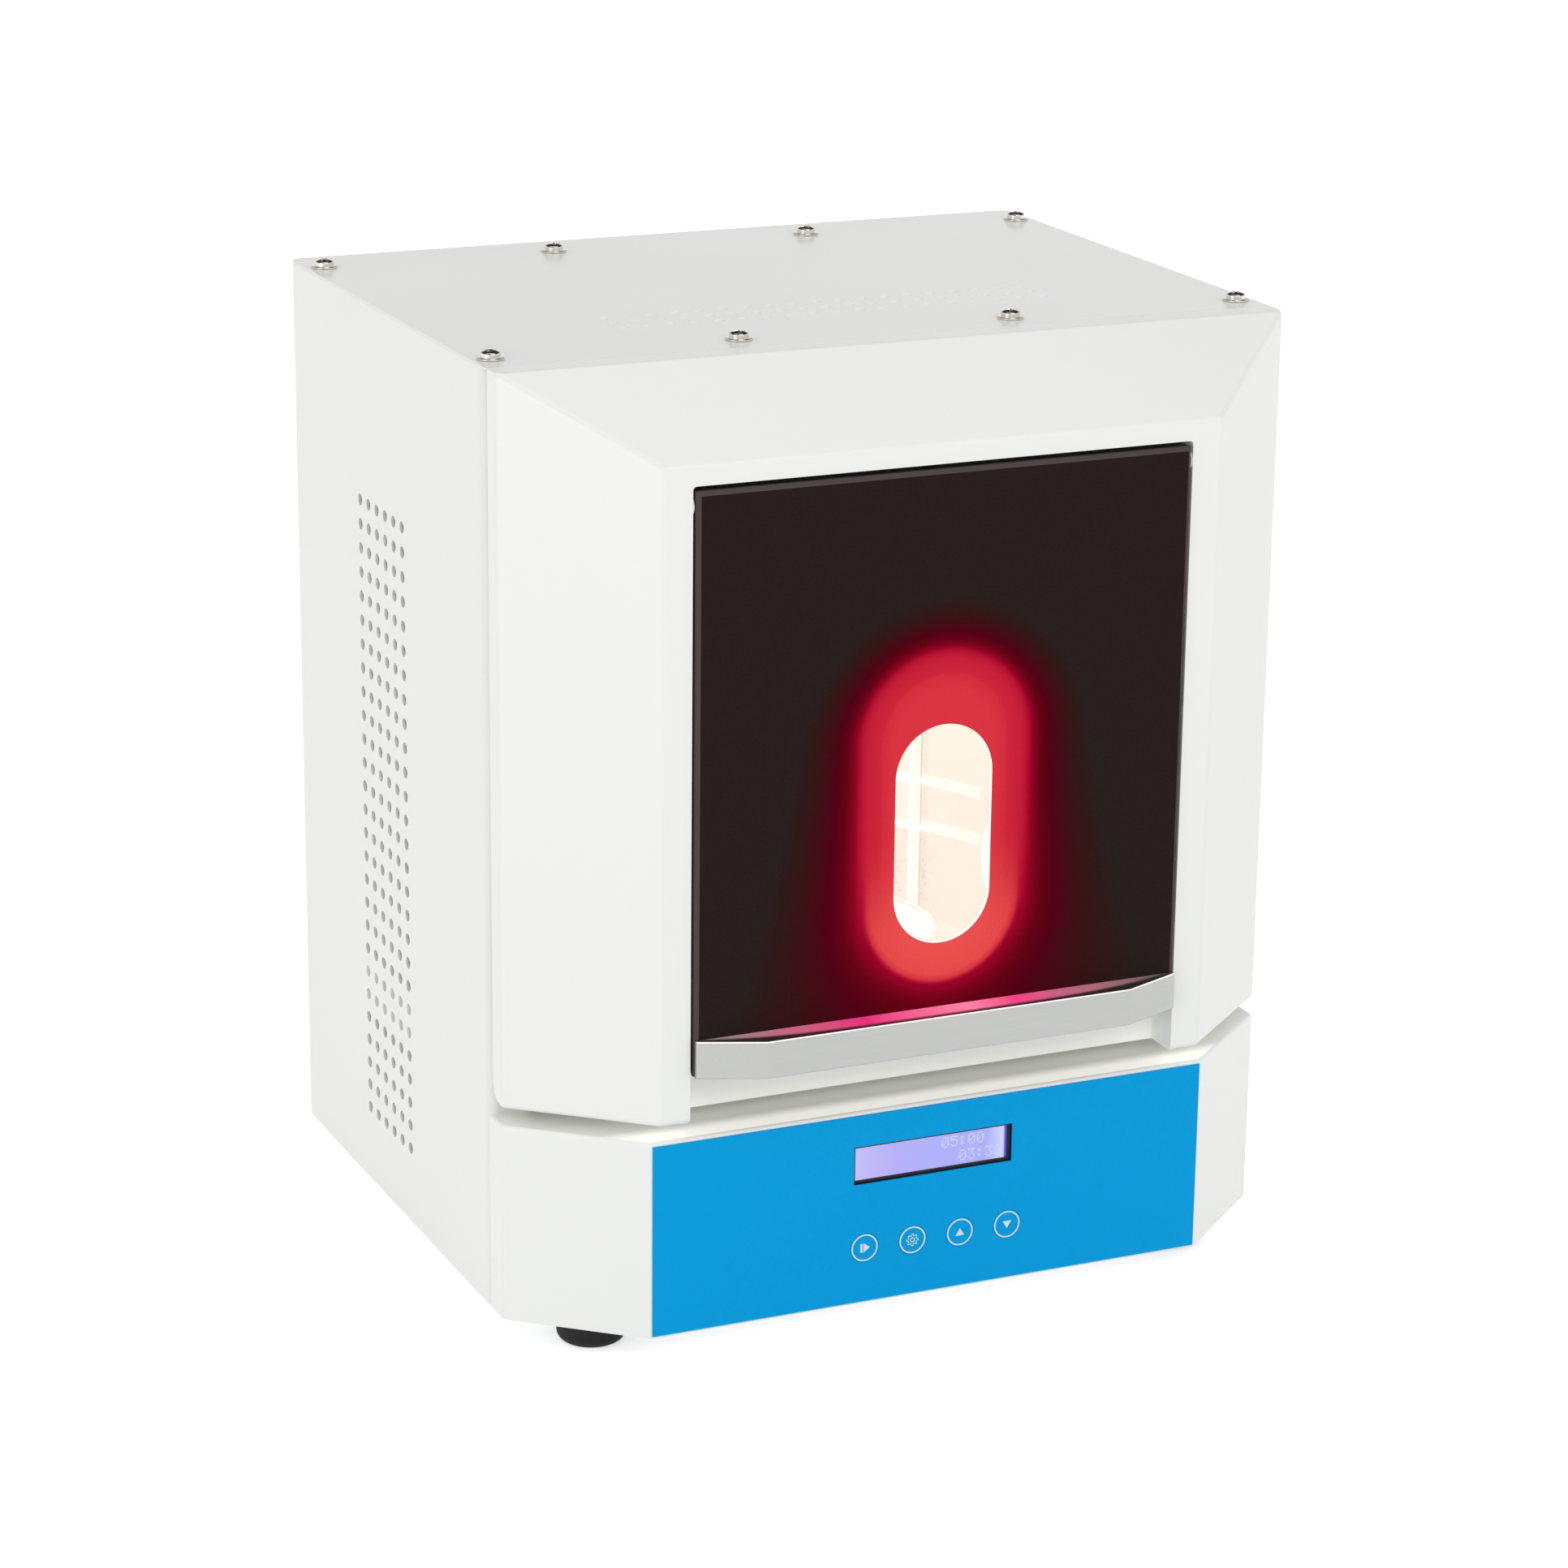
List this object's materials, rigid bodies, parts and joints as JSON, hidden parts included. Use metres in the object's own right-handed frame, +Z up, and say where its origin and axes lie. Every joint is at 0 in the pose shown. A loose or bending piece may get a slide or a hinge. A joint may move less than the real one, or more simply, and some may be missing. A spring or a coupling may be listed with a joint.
{
  "type": "light curing unit",
  "caption": "Bench-top dental laboratory light curing unit: white cabinet, bevelled front, flip-up dark door with a red-ringed window, display and key panel.",
  "frame": {"origin": "centre of the footprint, on the bench under the feet", "axes": "+Z up, the door and display face -Y, +X to the right of a user who faces the unit"},
  "size_m": [0.31, 0.2838, 0.3674],
  "materials": {
    "cabinet_paint": "fine-textured satin powder coat",
    "zinc_sheet": "bright zinc-plated sheet",
    "white_moulding": "satin moulded ABS",
    "blue_film": "satin printed polyester film",
    "black_moulding": "fine-textured moulded plastic",
    "lit_display": "lit lilac liquid-crystal glass",
    "dark_acrylic": "polished cast acrylic",
    "red_filter": "polished filter acrylic",
    "clear_acrylic": "polished clear acrylic",
    "liner_moulding": "satin moulded ABS",
    "satin_aluminium": "satin clear-anodised",
    "bright_steel": "ground steel",
    "nickel_plate": "nickel-plated steel",
    "acetal": "moulded acetal",
    "black_rubber": "moulded rubber",
    "silicone": "extruded silicone",
    "mirror_sheet": "mirror-bright aluminium sheet",
    "circuit_board": "solder-masked glass-epoxy laminate",
    "led_board": "white solder mask on an aluminium core",
    "led_phosphor": "phosphor under silicone",
    "opal_plastic": "opal acrylic",
    "black_aluminium": "black-anodised extrusion",
    "supply_case": "grey case",
    "motor_case": "drawn steel can",
    "brass_turned": "turned brass",
    "grey_ribbon": "extruded flat cable"
  },
  "bodies": {
    "cabinet": {"casing": "cabinet_paint", "top_cover": "cabinet_paint", "top_rail": "zinc_sheet", "bottom_plate": "zinc_sheet", "shelf": "zinc_sheet", "rubber_feet": "black_rubber", "front_fascia": "white_moulding", "control_housing": "white_moulding", "membrane_overlay": "blue_film", "display_bezel": "black_moulding", "display_glass": "lit_display", "front_boards": "circuit_board", "tact_switches": "black_moulding", "hinge_bushes": "acetal", "door_seal": "silicone", "strike_plates": "zinc_sheet", "door_sensor": "black_moulding", "reflector": "mirror_sheet", "chamber_floor": "mirror_sheet", "chamber_ceiling": "mirror_sheet", "light_boards": "led_board", "light_emitters": "led_phosphor", "light_diffusers": "opal_plastic", "side_lamps": "black_aluminium", "lamp_lenses": "opal_plastic", "heat_sinks": "black_aluminium", "gear_motor": "motor_case", "power_supply": "supply_case", "control_card": "circuit_board", "driver_card": "circuit_board", "board_posts": "brass_turned", "display_cable": "grey_ribbon", "rear_panel": "cabinet_paint", "fan_frame": "black_moulding", "finger_guard": "nickel_plate", "power_inlet": "black_moulding", "inlet_contacts": "brass_turned", "switch_frame": "black_moulding", "cover_screws": "nickel_plate", "cover_washers": "nickel_plate", "case_screws": "nickel_plate", "foot_screws": "nickel_plate"},
    "door": {"door_panel": "dark_acrylic", "filter_ring": "red_filter", "window_lens": "clear_acrylic", "door_liner": "liner_moulding", "hinge_pins": "bright_steel", "door_handle": "satin_aluminium", "handle_screws": "nickel_plate", "catch_magnets": "nickel_plate"},
    "turntable": {"turntable_disc": "mirror_sheet", "turntable_hub": "black_moulding", "motor_shaft": "bright_steel"},
    "fan": {"fan_rotor": "black_moulding"},
    "key_start": {"key_start": "blue_film"},
    "key_set": {"key_set": "blue_film"},
    "key_up": {"key_up": "blue_film"},
    "key_down": {"key_down": "blue_film"},
    "power_rocker": {"rocker": "black_moulding"},
    "fuse_drawer": {"fuse_drawer": "black_moulding"}
  },
  "joints": [
    {"name": "door_hinge", "type": "hinge", "parent": "cabinet", "child": "door", "pos_m": [0, -0.12545, 0.3205], "axis": [-1, 0, 0], "range_deg": [0, 90]},
    {"name": "turntable_spin", "type": "hinge", "parent": "cabinet", "child": "turntable", "pos_m": [0, -0.02645, 0.1027], "axis": [0, 0, 1], "continuous": true},
    {"name": "fan_spin", "type": "hinge", "parent": "cabinet", "child": "fan", "pos_m": [0, 0.11155, 0.212], "axis": [0, 1, 0], "continuous": true},
    {"name": "key_start_press", "type": "slide", "parent": "cabinet", "child": "key_start", "axis": [0, 1, 0], "range_m": [0, 0.0005], "stiffness_N_per_m": 2000},
    {"name": "key_set_press", "type": "slide", "parent": "cabinet", "child": "key_set", "axis": [0, 1, 0], "range_m": [0, 0.0005], "stiffness_N_per_m": 2000},
    {"name": "key_up_press", "type": "slide", "parent": "cabinet", "child": "key_up", "axis": [0, 1, 0], "range_m": [0, 0.0005], "stiffness_N_per_m": 2000},
    {"name": "key_down_press", "type": "slide", "parent": "cabinet", "child": "key_down", "axis": [0, 1, 0], "range_m": [0, 0.0005], "stiffness_N_per_m": 2000},
    {"name": "rocker_tilt", "type": "hinge", "parent": "cabinet", "child": "power_rocker", "pos_m": [0.03, 0.12875, 0.074], "axis": [-1, 0, 0], "range_deg": [0, 16]},
    {"name": "fuse_drawer_slide", "type": "slide", "parent": "cabinet", "child": "fuse_drawer", "axis": [0, 1, 0], "range_m": [0, 0.018]}
  ]
}
